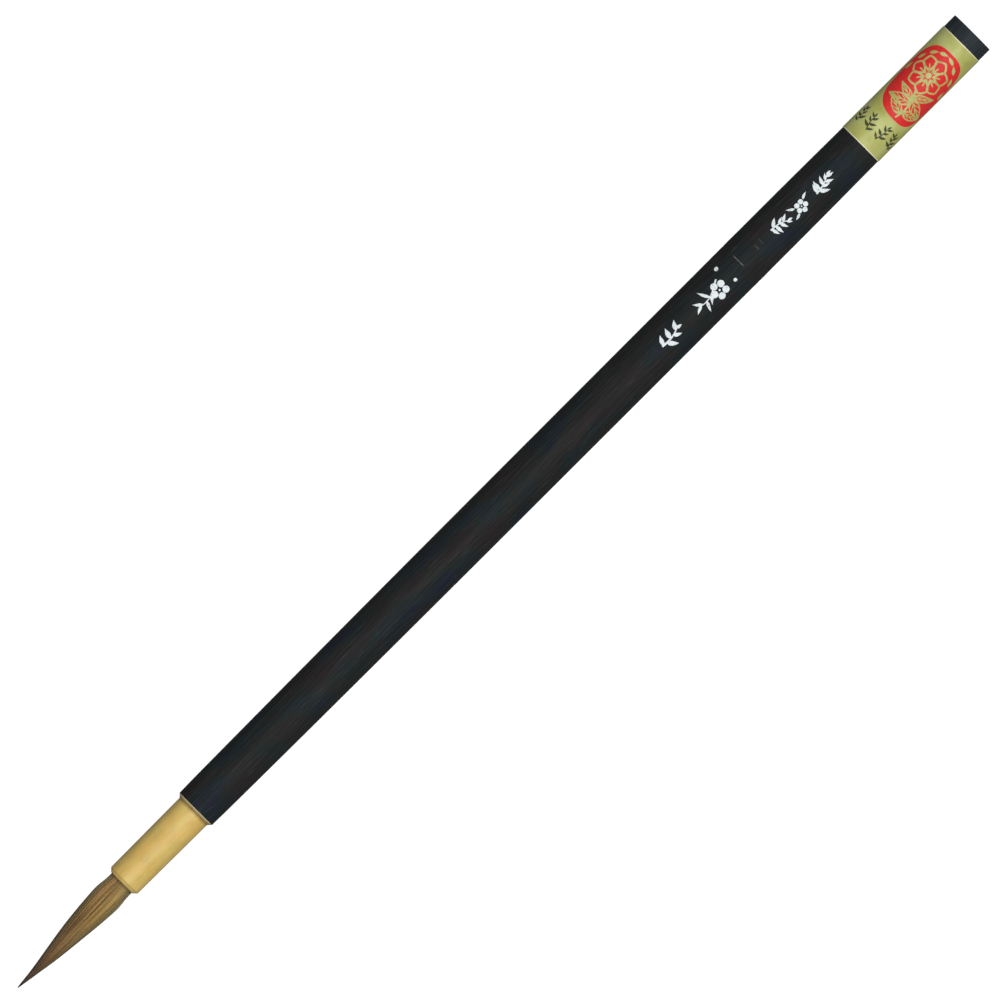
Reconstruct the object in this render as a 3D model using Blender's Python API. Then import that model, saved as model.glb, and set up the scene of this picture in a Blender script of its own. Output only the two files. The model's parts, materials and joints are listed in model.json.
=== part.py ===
"""A calligraphy brush: a tuft of animal hair, bound and glued into a raw bamboo socket,
on a shaft of black-dyed bamboo with a paper label round its butt end.

The brush lies along X, its point at -X and its butt at +X, and rests on z = 0.
Lengths are in millimetres. "Reach" is the distance along the brush from the point of the tuft.
"""
import math

import bmesh
import bpy
from mathutils import Vector

MM = 0.001

# Facets round every turned piece. Pieces that nest share one number, so their walls stay parallel.
FACETS = 48
HAIR_FACETS = 32
ARC_STEP = math.radians(15)

# The whole brush
BRUSH_LENGTH = 215.0
GLUE_FILM = 0.05

# Shaft: one length of bamboo culm, thinner at the socket end and again towards the butt
SHAFT_START = 39.85
SHAFT_END_RADIUS = 3.10
SHAFT_EDGE = 40.45
SHAFT_EDGE_RADIUS = 3.66
CULM_RADIUS = 4.03
SOCKET_END_THINNING = 0.35
THINNING_LENGTH = 32.0
CULM_WIDEST = 172.0
BUTT_THINNING = 0.12
BUTT_THINNING_END = 196.0
CULM_STATIONS = (42.0, 48.0, 57.0, 68.0, 84.0, 108.0, 140.0, CULM_WIDEST, 182.0)
CULM_BORE = 1.6
CULM_NODE = 163.0
CULM_NODE_THICKNESS = 1.4
TENON_RECESS = 2.35
TENON_RECESS_END = 52.4
PLUG_RECESS = 2.10
PLUG_RECESS_START = 210.0

# Socket: turned from a thinner piece of raw bamboo, with a tenon that enters the shaft
SOCKET_MOUTH = 23.8
SOCKET_MOUTH_CHAMFER = 0.6
SOCKET_MOUTH_RADIUS = 3.00
SOCKET_SHOULDER = SHAFT_START - GLUE_FILM
SOCKET_SHOULDER_RADIUS = 3.08
SOCKET_BORE = 2.33
SOCKET_BORE_END = 34.85
SOCKET_VENT = 0.8
TENON_RADIUS = TENON_RECESS - GLUE_FILM
TENON_END = 51.9
TENON_CHAMFER = 0.3

# Label: a strip of foil paper wrapped once round the shaft, with a lap at the back
LABEL_START = 189.85
LABEL_END = 212.5
LABEL_GLUE = 0.02
LABEL_THICKNESS = 0.05
LAP_GAP = 0.01
LAP_FACETS = 5
LAP_START_FACET = 40

# Tuft: core hairs inside a thin layer of cover hairs
TUFT_OUTLINE = (
    (0.0, 0.04), (1.6, 0.27), (3.8, 0.56), (7.6, 1.16), (12.7, 1.85), (17.8, 2.34),
    (20.5, 2.49), (22.6, 2.29), (24.5, 2.25), (30.6, 2.25),
)
COVER_THICKNESS = 0.25
HAIR_GAP = 0.05
SEGMENT_STEPS = 3
TUFT_ROOT = 34.1
TUFT_ROOT_RADIUS = 2.12
WAISTED_SLOPE = 1.0
WAISTED_START = 31.6
WAISTED_END = 33.7
WAISTED_RADIUS = 1.98

# The tuft bends at four places, each a ball of hair in a cup of hair. The cup's rim is set back
# from the ball's centre, so the ball can turn.
BELLY_JOINT = 19.5
MIDDLE_JOINT = 15.5
WAIST_JOINT = 11.5
POINT_JOINT = 7.5
BALL_GAP = 0.06
BELLY_RIM = 0.9
MIDDLE_RIM = 0.75
WAIST_RIM = 0.6
POINT_RIM = 0.5

# Binding and seal at the root of the tuft
THREAD_RADIUS = 0.12
THREAD_COIL_RADIUS = 2.16
THREAD_START = 32.0
THREAD_PITCH = 0.32
THREAD_TURNS = 4
THREAD_POINTS_PER_TURN = 24
RESIN_START = TUFT_ROOT + 0.05
RESIN_END = SOCKET_BORE_END - 0.05
RESIN_RADIUS = 2.2
RESIN_ROUNDING = 0.25

SHARP_ANGLE = math.radians(30)
MERGE_DISTANCE = 1e-7


def clear_scene():
    for item in list(bpy.data.objects):
        bpy.data.objects.remove(item, do_unlink=True)


def linear(red, green, blue):
    """Linear colour from display values of 0 to 255."""
    return [((value / 255 + 0.055) / 1.055) ** 2.4 for value in (red, green, blue)]


def make_material(name, colour, roughness, metallic=0.0):
    material = bpy.data.materials.new(name)
    material.use_nodes = True
    shader = material.node_tree.nodes["Principled BSDF"]
    shader.inputs["Base Color"].default_value = (*colour, 1.0)
    shader.inputs["Roughness"].default_value = roughness
    shader.inputs["Metallic"].default_value = metallic
    return material


def add_empty(name, reach, parent=None, parent_reach=0.0):
    """An empty on the brush axis. Its local Z runs towards the butt."""
    empty = bpy.data.objects.new(name, None)
    bpy.context.collection.objects.link(empty)
    empty.parent = parent
    empty.location = (0, 0, (reach - parent_reach) * MM)
    return empty


def place(item, material, parent):
    item.data.materials.append(material)
    bpy.context.collection.objects.link(item)
    item.parent = parent
    return item


def mesh_object(name, shape, material, parent):
    """Turns a finished bmesh into a smooth-shaded object under its parent."""
    bmesh.ops.recalc_face_normals(shape, faces=shape.faces)
    mesh = bpy.data.meshes.new(name)
    shape.to_mesh(mesh)
    shape.free()
    mesh.shade_smooth()
    mesh.set_sharp_from_angle(angle=SHARP_ANGLE)
    return place(bpy.data.objects.new(name, mesh), material, parent)


def turned(name, outline, material, parent, origin_reach=0.0, facets=FACETS):
    """Spins an outline of (radius, reach) points round the brush axis.

    An outline that starts and ends on the axis makes a solid body; any other makes a ring.
    """
    shape = bmesh.new()
    corners = [
        shape.verts.new((radius * MM, 0, (reach - origin_reach) * MM))
        for radius, reach in outline
    ]
    edges = [shape.edges.new(pair) for pair in zip(corners, corners[1:])]
    if outline[0][0] > 0:
        edges.append(shape.edges.new((corners[-1], corners[0])))
    bmesh.ops.spin(
        shape, geom=corners + edges, cent=(0, 0, 0), axis=(0, 0, 1),
        angle=math.tau, steps=facets, use_merge=True,
    )
    bmesh.ops.remove_doubles(shape, verts=shape.verts, dist=MERGE_DISTANCE)
    return mesh_object(name, shape, material, parent)


def smoothstep(amount):
    amount = min(max(amount, 0.0), 1.0)
    return amount * amount * (3 - 2 * amount)


def culm_radius(reach):
    """Outer radius of the shaft above its chamfered end."""
    full = CULM_RADIUS - SOCKET_END_THINNING * math.exp((SHAFT_EDGE - reach) / THINNING_LENGTH)
    return full - BUTT_THINNING * smoothstep((reach - CULM_WIDEST) / (BUTT_THINNING_END - CULM_WIDEST))


def tuft_radius(reach):
    """Outer radius of the tuft, by a smooth curve through TUFT_OUTLINE."""
    points = TUFT_OUTLINE
    last = len(points) - 1
    slopes = []
    for index in range(last + 1):
        before = points[max(index - 1, 0)]
        after = points[min(index + 1, last)]
        slopes.append((after[1] - before[1]) / (after[0] - before[0]))
    index = max(i for i in range(last) if points[i][0] <= max(reach, 0.0))
    (start, start_radius), (end, end_radius) = points[index], points[index + 1]
    span = end - start
    t = min((reach - start) / span, 1.0)
    curve = smoothstep(t)
    start_pull = slopes[index] * span * t * (1 - t) ** 2
    end_pull = slopes[index + 1] * span * t * t * (1 - t)
    return start_radius * (1 - curve) + end_radius * curve + start_pull - end_pull


def tuft_side(start, end, inset, steps):
    """Points down the side of the tuft, moved inwards by inset."""
    reaches = [start + (end - start) * step / steps for step in range(steps + 1)]
    return [(tuft_radius(reach) - inset, reach) for reach in reaches]


def ball_arc(joint, radius, first_radius, last_radius):
    """Points on a ball or cup round a joint, between two distances from the axis."""
    first = math.asin(first_radius / radius)
    last = math.asin(last_radius / radius)
    steps = max(2, math.ceil(abs(last - first) / ARC_STEP))
    angles = [first + (last - first) * step / steps for step in range(steps + 1)]
    return [(radius * math.sin(angle), joint + radius * math.cos(angle)) for angle in angles]


def make_shaft(material, parent):
    label_middle = (LABEL_START + LABEL_END) / 2
    node_low = CULM_NODE - CULM_NODE_THICKNESS / 2
    node_high = CULM_NODE + CULM_NODE_THICKNESS / 2
    outside = CULM_STATIONS + (LABEL_START, label_middle, LABEL_END, BRUSH_LENGTH)
    outline = [
        (0, node_low),
        (CULM_BORE, node_low),
        (CULM_BORE, TENON_RECESS_END),
        (TENON_RECESS, TENON_RECESS_END),
        (TENON_RECESS, SHAFT_START),
        (SHAFT_END_RADIUS, SHAFT_START),
        (SHAFT_EDGE_RADIUS, SHAFT_EDGE),
        *[(culm_radius(reach), reach) for reach in outside],
        (PLUG_RECESS, BRUSH_LENGTH),
        (PLUG_RECESS, PLUG_RECESS_START),
        (CULM_BORE, PLUG_RECESS_START),
        (CULM_BORE, node_high),
        (0, node_high),
    ]
    return turned("shaft", outline, material, parent)


def make_butt_plug(material, parent):
    radius = PLUG_RECESS - GLUE_FILM
    start = PLUG_RECESS_START + GLUE_FILM
    outline = [
        (0, start),
        (radius - TENON_CHAMFER, start),
        (radius, start + TENON_CHAMFER),
        (radius, BRUSH_LENGTH),
        (0, BRUSH_LENGTH),
    ]
    return turned("butt_plug", outline, material, parent)


def make_socket(material, parent):
    outline = [
        (SOCKET_BORE, SOCKET_MOUTH),
        (SOCKET_MOUTH_RADIUS - SOCKET_MOUTH_CHAMFER, SOCKET_MOUTH),
        (SOCKET_MOUTH_RADIUS, SOCKET_MOUTH + SOCKET_MOUTH_CHAMFER),
        (SOCKET_SHOULDER_RADIUS, SOCKET_SHOULDER),
        (TENON_RADIUS, SOCKET_SHOULDER),
        (TENON_RADIUS, TENON_END - TENON_CHAMFER),
        (TENON_RADIUS - TENON_CHAMFER, TENON_END),
        (SOCKET_VENT, TENON_END),
        (SOCKET_VENT, SOCKET_BORE_END),
        (SOCKET_BORE, SOCKET_BORE_END),
    ]
    return turned("socket", outline, material, parent)


def make_label(material, parent):
    """The paper strip: a sheet that follows the shaft's facets and lies over its own start."""
    shape = bmesh.new()
    middle = (LABEL_START + LABEL_END) / 2
    rings = []
    for reach in (LABEL_START, middle, LABEL_END):
        ring = []
        for step in range(FACETS + LAP_FACETS + 1):
            angle = math.tau * (LAP_START_FACET + step) / FACETS
            inner = culm_radius(reach) + LABEL_GLUE
            if step >= FACETS:
                inner += LABEL_THICKNESS + LAP_GAP
            direction = Vector((math.cos(angle), math.sin(angle), 0))
            height = Vector((0, 0, reach * MM))
            ring.append([
                shape.verts.new(direction * radius * MM + height)
                for radius in (inner, inner + LABEL_THICKNESS)
            ])
        rings.append(ring)
    for lower, upper in zip(rings, rings[1:]):
        for side in (0, 1):
            for here in range(len(lower) - 1):
                shape.faces.new((
                    lower[here][side], lower[here + 1][side],
                    upper[here + 1][side], upper[here][side],
                ))
        for end in (0, -1):
            shape.faces.new((lower[end][0], lower[end][1], upper[end][1], upper[end][0]))
    for ring in (rings[0], rings[-1]):
        for here, after in zip(ring, ring[1:]):
            shape.faces.new((here[0], here[1], after[1], after[0]))
    return mesh_object("label", shape, material, parent)


def root_outline(inset):
    """The tuft inside the socket, nipped in by its binding, from the mouth to the root."""
    return [
        (tuft_radius(SOCKET_MOUTH) - inset, SOCKET_MOUTH),
        (tuft_radius(WAISTED_START) - inset, WAISTED_START - WAISTED_SLOPE),
        (WAISTED_RADIUS - inset, WAISTED_START),
        (WAISTED_RADIUS - inset, WAISTED_END),
        (TUFT_ROOT_RADIUS - inset, TUFT_ROOT),
    ]


def make_root_hair(materials, parent):
    """Hair above the first bend: it holds the first cup and runs up to the root in the socket."""
    core_inset = COVER_THICKNESS + HAIR_GAP
    cup = tuft_radius(BELLY_JOINT) + BALL_GAP
    rim = math.sqrt(cup ** 2 - BELLY_RIM ** 2)
    cup_edge = tuft_radius(BELLY_JOINT + BELLY_RIM)
    side_start = BELLY_JOINT + BELLY_RIM
    core_arc = ball_arc(BELLY_JOINT, cup, 0.0, cup_edge - core_inset)
    core = [
        *core_arc,
        *tuft_side(core_arc[-1][1] + HAIR_GAP, SOCKET_MOUTH, core_inset, 4)[:-1],
        *root_outline(core_inset),
        (0, TUFT_ROOT),
    ]
    inner_arc = ball_arc(BELLY_JOINT, cup, rim, cup_edge - COVER_THICKNESS)
    cover = [
        *inner_arc[::-1],
        *tuft_side(side_start, SOCKET_MOUTH, 0.0, 5)[:-1],
        *root_outline(0.0),
        *root_outline(COVER_THICKNESS)[::-1],
        *tuft_side(inner_arc[-1][1] + HAIR_GAP, SOCKET_MOUTH, COVER_THICKNESS, 4)[-2::-1],
    ]
    turned("core_hair_root", core, materials["core"], parent, facets=HAIR_FACETS)
    turned("cover_hair_root", cover, materials["cover"], parent, facets=HAIR_FACETS)


def make_hair_segment(name, joint, next_joint, rim_height, materials, parent):
    """Hair between two bends: a ball at its upper joint and a cup for the next ball."""
    core_inset = COVER_THICKNESS + HAIR_GAP
    ball = tuft_radius(joint)
    cup = tuft_radius(next_joint) + BALL_GAP
    rim = math.sqrt(cup ** 2 - rim_height ** 2)
    cup_edge = tuft_radius(next_joint + rim_height)
    ball_core = ball_arc(joint, ball, 0.0, ball - core_inset)
    cup_core = ball_arc(next_joint, cup, cup_edge - core_inset, 0.0)
    core = [
        *ball_core,
        *tuft_side(joint, cup_core[0][1] + HAIR_GAP, core_inset, SEGMENT_STEPS),
        *cup_core,
    ]
    ball_cover = ball_arc(joint, ball, ball - COVER_THICKNESS, ball)
    cup_cover = ball_arc(next_joint, cup, rim, cup_edge - COVER_THICKNESS)
    cover = [
        *ball_cover,
        *tuft_side(joint, next_joint + rim_height, 0.0, SEGMENT_STEPS)[1:],
        *cup_cover,
        *tuft_side(cup_cover[-1][1] + HAIR_GAP, joint, COVER_THICKNESS, SEGMENT_STEPS),
    ]
    turned("core_hair_" + name, core, materials["core"], parent, joint, HAIR_FACETS)
    turned("cover_hair_" + name, cover, materials["cover"], parent, joint, HAIR_FACETS)


def make_tip_hair(material, parent):
    """The longest core hairs alone, which run past the cover hairs to the point."""
    ball = tuft_radius(POINT_JOINT)
    outline = [
        *ball_arc(POINT_JOINT, ball, 0.0, ball),
        *tuft_side(POINT_JOINT, 0.0, 0.0, 4)[1:-1],
        (0, 0),
    ]
    turned("tip_hair", outline, material, parent, POINT_JOINT, HAIR_FACETS)


def make_root_thread(material, parent):
    """Hemp binding: a close coil round the root of the tuft."""
    curve = bpy.data.curves.new("root_thread", "CURVE")
    curve.dimensions = "3D"
    curve.bevel_depth = THREAD_RADIUS * MM
    curve.bevel_resolution = 1
    curve.use_fill_caps = True
    count = THREAD_TURNS * THREAD_POINTS_PER_TURN + 1
    spline = curve.splines.new("POLY")
    spline.points.add(count - 1)
    for index, point in enumerate(spline.points):
        turns = index / THREAD_POINTS_PER_TURN
        angle = math.tau * turns
        point.co = (
            THREAD_COIL_RADIUS * MM * math.cos(angle),
            THREAD_COIL_RADIUS * MM * math.sin(angle),
            (THREAD_START + THREAD_PITCH * turns) * MM,
            1.0,
        )
    return place(bpy.data.objects.new("root_thread", curve), material, parent)


def make_root_resin(material, parent):
    """The rosin that seals the cut ends of the hair."""
    outline = [
        (0, RESIN_START),
        (TUFT_ROOT_RADIUS, RESIN_START),
        (RESIN_RADIUS, RESIN_START + RESIN_ROUNDING),
        (RESIN_RADIUS - RESIN_ROUNDING, RESIN_END),
        (0, RESIN_END),
    ]
    return turned("root_resin", outline, material, parent)


def build():
    clear_scene()
    dyed_bamboo = make_material("dyed_bamboo", linear(36, 41, 42), 0.42)
    raw_bamboo = make_material("raw_bamboo", linear(212, 182, 104), 0.55)
    foil_paper = make_material("foil_paper", linear(185, 188, 125), 0.35, 0.3)
    core_hair = make_material("core_hair", linear(140, 105, 75), 0.6)
    cover_hair = make_material("cover_hair", linear(150, 120, 72), 0.55)
    hemp = make_material("hemp", linear(205, 190, 155), 0.8)
    rosin = make_material("rosin", linear(120, 70, 30), 0.25)
    hair = {"core": core_hair, "cover": cover_hair}

    axis = add_empty("brush_axis", 0.0)
    axis.rotation_euler = (0, math.pi / 2, 0)
    axis.location = (-BRUSH_LENGTH / 2 * MM, 0, culm_radius(CULM_WIDEST) * MM)
    belly = add_empty("belly_joint", BELLY_JOINT, axis)
    middle = add_empty("middle_joint", MIDDLE_JOINT, belly, BELLY_JOINT)
    waist = add_empty("waist_joint", WAIST_JOINT, middle, MIDDLE_JOINT)
    point = add_empty("point_joint", POINT_JOINT, waist, WAIST_JOINT)

    make_shaft(dyed_bamboo, axis)
    make_butt_plug(dyed_bamboo, axis)
    make_label(foil_paper, axis)
    make_socket(raw_bamboo, axis)
    make_root_hair(hair, axis)
    make_root_thread(hemp, axis)
    make_root_resin(rosin, axis)
    make_hair_segment("belly", BELLY_JOINT, MIDDLE_JOINT, MIDDLE_RIM, hair, belly)
    make_hair_segment("middle", MIDDLE_JOINT, WAIST_JOINT, WAIST_RIM, hair, middle)
    make_hair_segment("waist", WAIST_JOINT, POINT_JOINT, POINT_RIM, hair, waist)
    make_tip_hair(core_hair, point)


build()
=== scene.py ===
"""Looks of the calligraphy brush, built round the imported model.

Places come from the frame. Lengths are in millimetres until a mesh is made. "Reach" is the
distance along the brush from the point of the tuft, and "arc" the distance round the surface from
its top line, positive towards -Y.
"""
import json
import math

import bpy
import numpy as np
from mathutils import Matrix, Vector, noise


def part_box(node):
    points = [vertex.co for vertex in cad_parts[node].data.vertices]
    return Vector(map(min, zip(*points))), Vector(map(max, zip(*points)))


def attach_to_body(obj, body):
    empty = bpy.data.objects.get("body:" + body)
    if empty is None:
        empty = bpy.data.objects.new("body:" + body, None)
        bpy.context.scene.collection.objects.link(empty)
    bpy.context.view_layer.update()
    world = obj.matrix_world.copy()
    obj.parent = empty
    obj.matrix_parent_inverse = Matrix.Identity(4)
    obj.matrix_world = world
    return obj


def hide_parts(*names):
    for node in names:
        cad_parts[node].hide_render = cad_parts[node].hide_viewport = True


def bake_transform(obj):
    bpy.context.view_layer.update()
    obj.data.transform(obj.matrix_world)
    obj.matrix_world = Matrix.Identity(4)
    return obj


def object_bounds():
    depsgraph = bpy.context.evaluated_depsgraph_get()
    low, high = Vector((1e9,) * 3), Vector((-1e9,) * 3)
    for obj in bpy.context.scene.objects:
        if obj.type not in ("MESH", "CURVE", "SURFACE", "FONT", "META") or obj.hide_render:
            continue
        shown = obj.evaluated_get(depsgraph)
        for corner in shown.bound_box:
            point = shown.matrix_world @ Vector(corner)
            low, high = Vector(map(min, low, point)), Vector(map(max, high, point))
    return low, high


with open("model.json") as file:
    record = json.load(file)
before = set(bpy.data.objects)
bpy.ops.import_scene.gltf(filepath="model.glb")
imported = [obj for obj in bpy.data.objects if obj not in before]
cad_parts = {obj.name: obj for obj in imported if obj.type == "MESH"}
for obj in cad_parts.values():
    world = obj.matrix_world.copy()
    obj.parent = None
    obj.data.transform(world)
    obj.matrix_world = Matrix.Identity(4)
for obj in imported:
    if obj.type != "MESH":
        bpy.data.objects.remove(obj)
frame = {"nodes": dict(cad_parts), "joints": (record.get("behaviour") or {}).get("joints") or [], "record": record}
cad_low, cad_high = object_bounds()

MM = 0.001
JOINTS = {joint["name"]: joint for joint in frame["joints"]}
AXIS_HEIGHT = frame["record"]["mounts"][0]["pos_m"][2] / MM
POINT_X = cad_low.x / MM


def reach_span(node):
    """First and last reach of a CAD node."""
    low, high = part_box(node)
    return low.x / MM - POINT_X, high.x / MM - POINT_X


SHAFT_START, SHAFT_END = reach_span("shaft")
SOCKET_MOUTH, TENON_END = reach_span("socket")
LABEL_START, LABEL_END = reach_span("label")
TUFT_ROOT = reach_span("core_hair_root")[1]
PLUG_START = reach_span("butt_plug")[0]
BELLY_BEND, MIDDLE_BEND, WAIST_BEND, POINT_BEND = (
    JOINTS[name]["pos_m"][0] / MM - POINT_X
    for name in ("belly_bend", "middle_bend", "waist_bend", "point_bend")
)

# Shaft
RAW_END_LENGTH = 0.6
TENON_RECESS = 2.35
TENON_RECESS_DEPTH = 12.5
CULM_BORE = 1.6
PLUG_RECESS = 2.10
WORN_EDGE = 0.05
CULM_NODE = 163.0
# pale slivers by the node: partly worn dye, partly a painted highlight of its ridge
NODE_HIGHLIGHT_SLIVERS = (
    # reach, half length, first arc, last arc, amount
    (163.0, 0.06, -1.4, 0.2, 0.60),
    (166.6, 0.05, -0.3, 0.1, 0.28),
    (167.7, 0.05, -0.5, -0.1, 0.25),
)
SHAFT_FACETS = 160

# Socket
SOCKET_CHAMFER = 0.6
SOCKET_EASING = 0.10
SOCKET_RADII = (3.00, 3.08)
SOCKET_BORE = 2.33
SOCKET_BORE_DEPTH = 11.05
SOCKET_VENT = 0.8
TENON_RADIUS = 2.30

# Label
LABEL_LIFT = 0.02
LABEL_THICKNESS = 0.05
LAP_START = math.tau * 40 / 48
LAP_ANGLE = math.tau * 5 / 48

# Tuft
BELLY_REACH = 20.5
TUFT_OUTLINE = (
    (0.0, 0.04), (1.6, 0.27), (3.8, 0.56), (7.6, 1.16), (12.7, 1.85), (17.8, 2.34),
    (BELLY_REACH, 2.49), (22.6, 2.29), (24.5, 2.25), (30.6, 2.25), (31.6, 1.98), (33.7, 1.98),
    (34.1, 2.1),
)
BELLY_MIDDLE_CUT = (BELLY_BEND + MIDDLE_BEND) / 2
MIDDLE_WAIST_CUT = (MIDDLE_BEND + WAIST_BEND) / 2
WAIST_POINT_CUT = (WAIST_BEND + POINT_BEND) / 2
HAIR_ROOT = SOCKET_MOUTH + 2.2
CORE_END = 0.35
CORE_SHARE = 0.885
END_RING = 0.015
TUFT_LEAN = 0.15
TUFT_TWIST = 0.30
TWIST_CENTRE = 18.0
LOCKS = (
    # angle and half width in degrees, first and last reach, change of tone
    (1, 2.0, 15.5, 23.0, -0.42),
    (-27, 2.6, 10.5, 17.5, -0.42),
    (-14, 2.2, 11.5, 17.0, -0.38),
    (40, 2.4, 16.0, 23.0, -0.40),
    (9, 2.6, 13.5, 21.5, 0.42),
    (19, 2.4, 12.0, 18.5, 0.36),
    (31, 4.5, 13.5, 18.5, 0.24),
    (-7, 2.2, 13.0, 22.0, 0.38),
    (-35, 2.6, 12.0, 20.0, 0.28),
    (-20, 2.2, 17.5, 24.0, 0.12),
)


# ---------------------------------------------------------------- curves

def smooth_curve(points, places):
    """Monotone cubic through (place, value) points, at one or many places."""
    x = np.array([point[0] for point in points], float)
    y = np.array([point[1] for point in points], float)
    steps = np.diff(x)
    rises = np.diff(y) / steps
    slopes = np.concatenate([[rises[0]], (rises[:-1] + rises[1:]) / 2, [rises[-1]]])
    slopes[1:-1][rises[:-1] * rises[1:] <= 0] = 0
    before, after = np.insert(rises, 0, rises[0]), np.append(rises, rises[-1])
    limit = 3 * np.minimum(np.abs(before), np.abs(after))
    slopes = np.clip(slopes, -limit, limit)
    places = np.clip(np.asarray(places, float), x[0], x[-1])
    index = np.clip(np.searchsorted(x, places, side="right") - 1, 0, len(x) - 2)
    t = (places - x[index]) / steps[index]
    return (
        y[index] * (1 + 2 * t) * (1 - t) ** 2
        + y[index + 1] * t * t * (3 - 2 * t)
        + slopes[index] * steps[index] * t * (1 - t) ** 2
        + slopes[index + 1] * steps[index] * t * t * (t - 1)
    )


def cad_profile(node, first, last, bore):
    """(reach, outer radius) of a turned CAD node, from its own vertices between two reaches
    and outside its bore."""
    widest = {}
    for vertex in frame["nodes"][node].data.vertices:
        reach = round(vertex.co.x / MM - POINT_X, 3)
        radius = math.hypot(vertex.co.y, vertex.co.z - AXIS_HEIGHT * MM) / MM
        if first <= reach <= last and radius > bore:
            widest[reach] = max(widest.get(reach, 0.0), radius)
    return sorted(widest.items())


DYE_START = SHAFT_START + RAW_END_LENGTH
CULM_PROFILE = cad_profile("shaft", DYE_START - 0.01, SHAFT_END, TENON_RECESS + 0.5)


def tuft_radius(reach):
    return smooth_curve(TUFT_OUTLINE, reach)


def smoothstep(low, high, value):
    t = min(max((value - low) / (high - low), 0.0), 1.0)
    return t * t * (3 - 2 * t)


def ripple(angle, reach, turns, length, shift):
    """Smooth noise of about -1 to 1 on a cylinder, in bumps of 1/turns of a radian by length mm.
    shift moves it along to another patch."""
    across = (math.cos(angle) * turns, math.sin(angle) * turns)
    return noise.noise(Vector((*across, reach / length + shift)))


def culm_radius(reach, angle):
    """Outer radius of the shaft, with the culm's slight waviness and its sanded-down node."""
    radius = float(smooth_curve(CULM_PROFILE, reach))
    swell = math.exp(-((reach - CULM_NODE - 0.9) / 1.5) ** 2)
    groove = math.exp(-((reach - CULM_NODE - 0.12 * math.sin(angle)) / 0.16) ** 2)
    wave = 0.012 * ripple(angle, reach, 1.6, 30, 31.7) + 0.006 * ripple(angle, reach, 7, 60, 63.4)
    return radius - 0.012 + wave + 0.02 * swell - 0.03 * groove


# ---------------------------------------------------------------- meshes

def to_world(reach, angle, radius):
    """World place, in metres, of a point round the axis. Angle 0 is the top line."""
    return (
        (POINT_X + reach) * MM,
        -radius * math.sin(angle) * MM,
        (AXIS_HEIGHT + radius * math.cos(angle)) * MM,
    )


def add_mesh(name, corners, faces, material, flat_faces=()):
    """A smooth-shaded object from world corners and faces. flat_faces are indices of end caps."""
    mesh = bpy.data.meshes.new(name)
    mesh.from_pydata(corners, [], faces)
    mesh.update()
    smooth = np.ones(len(mesh.polygons), bool)
    smooth[list(flat_faces)] = False
    mesh.polygons.foreach_set("use_smooth", smooth)
    mesh.materials.append(material)
    item = bpy.data.objects.new(name, mesh)
    bpy.context.scene.collection.objects.link(item)
    return item


def shell_faces(rows, columns, base=0):
    """Faces of a thin closed sheet: rows by columns corners of its front, then those of its back."""
    back = rows * columns
    faces = []
    for row in range(rows - 1):
        for column in range(columns - 1):
            a = base + row * columns + column
            quad = (a, a + 1, a + 1 + columns, a + columns)
            faces.append(quad)
            faces.append(tuple(corner + back for corner in reversed(quad)))
    last_row, last_column = back - columns, columns - 1
    rim = [
        *range(last_column), *range(last_column, last_row + last_column, columns),
        *range(last_row + last_column, last_row, -1), *range(last_row, 0, -columns),
    ]
    for here, after in zip(rim, rim[1:] + rim[:1]):
        a, b = base + here, base + after
        faces.append((b, a, a + back, b + back))
    return faces


def turned_ring(name, outline, material, facets=SHAFT_FACETS, surface=None):
    """Spins a closed outline of (radius, reach) round the axis. surface(reach, angle, radius)
    may give each corner its own radius."""
    corners, faces = [], []
    count = len(outline)
    for step in range(facets):
        angle = math.tau * step / facets
        for radius, reach in outline:
            if surface:
                radius = surface(reach, angle, radius)
            corners.append(to_world(reach, angle, radius))
    for step in range(facets):
        here, after = step * count, (step + 1) % facets * count
        for index in range(count):
            beside = (index + 1) % count
            faces.append((here + index, after + index, after + beside, here + beside))
    item = add_mesh(name, corners, faces, material)
    item.data.set_sharp_from_angle(angle=math.radians(35))
    return item


# ---------------------------------------------------------------- materials

def linear(red, green, blue):
    """Linear colour from display values of 0 to 255."""
    return (*[((value / 255 + 0.055) / 1.055) ** 2.4 for value in (red, green, blue)], 1.0)


def grey(level):
    """An even tone as a colour for Blender."""
    return (level, level, level, 1.0)


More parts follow.
